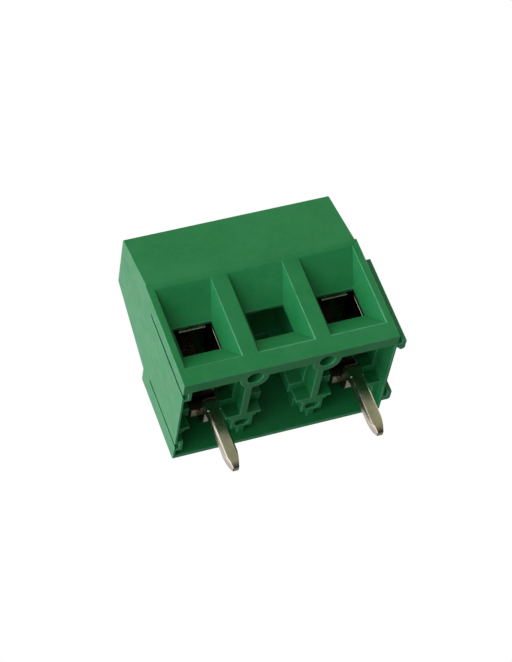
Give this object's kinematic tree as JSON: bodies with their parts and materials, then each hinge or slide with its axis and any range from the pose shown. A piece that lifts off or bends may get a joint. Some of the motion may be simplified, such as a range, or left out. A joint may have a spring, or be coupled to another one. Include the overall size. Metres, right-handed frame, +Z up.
{
  "type": "pcb screw terminal block",
  "caption": "Moulded screw terminal block for a printed circuit board, with wire funnels, rising clamp cages, slotted clamp screws, solder pins and side rails for joining blocks.",
  "frame": {"origin": "on the board side of the block, at the middle of the row of solder pins", "axes": "+X along the row of chambers towards the side with the rails, +Y away from the wire entries, +Z up from the board towards the screw heads"},
  "size_m": [0.0157, 0.0091, 0.0175],
  "materials": {
    "housing": "satin",
    "solder_pin": "tin plated",
    "clamp_cage": "satin",
    "clamp_screw": "zinc plated"
  },
  "bodies": {
    "housing": {"housing": "housing", "solder_pin_left": "solder_pin", "solder_pin_right": "solder_pin"},
    "screw_left": {"clamp_screw_left": "clamp_screw"},
    "cage_left": {"clamp_cage_left": "clamp_cage"},
    "screw_right": {"clamp_screw_right": "clamp_screw"},
    "cage_right": {"clamp_cage_right": "clamp_cage"}
  },
  "joints": [
    {"name": "screw_left_turn", "type": "hinge", "parent": "housing", "child": "screw_left", "pos_m": [-0.00508, -0.00049, 0.0105], "axis": [0, 0, -1], "range_deg": [0, 1620]},
    {"name": "cage_left_lift", "type": "slide", "parent": "housing", "child": "cage_left", "axis": [0, 0, 1], "range_m": [0, 0.00202]},
    {"name": "screw_right_turn", "type": "hinge", "parent": "housing", "child": "screw_right", "pos_m": [0.00508, -0.00049, 0.0105], "axis": [0, 0, -1], "range_deg": [0, 1620]},
    {"name": "cage_right_lift", "type": "slide", "parent": "housing", "child": "cage_right", "axis": [0, 0, 1], "range_m": [0, 0.00202]}
  ],
  "couplings": [
    {"joint": "screw_left_turn", "follows": "cage_left_lift", "rad_per_m": 13963},
    {"joint": "screw_right_turn", "follows": "cage_right_lift", "rad_per_m": 13963}
  ]
}
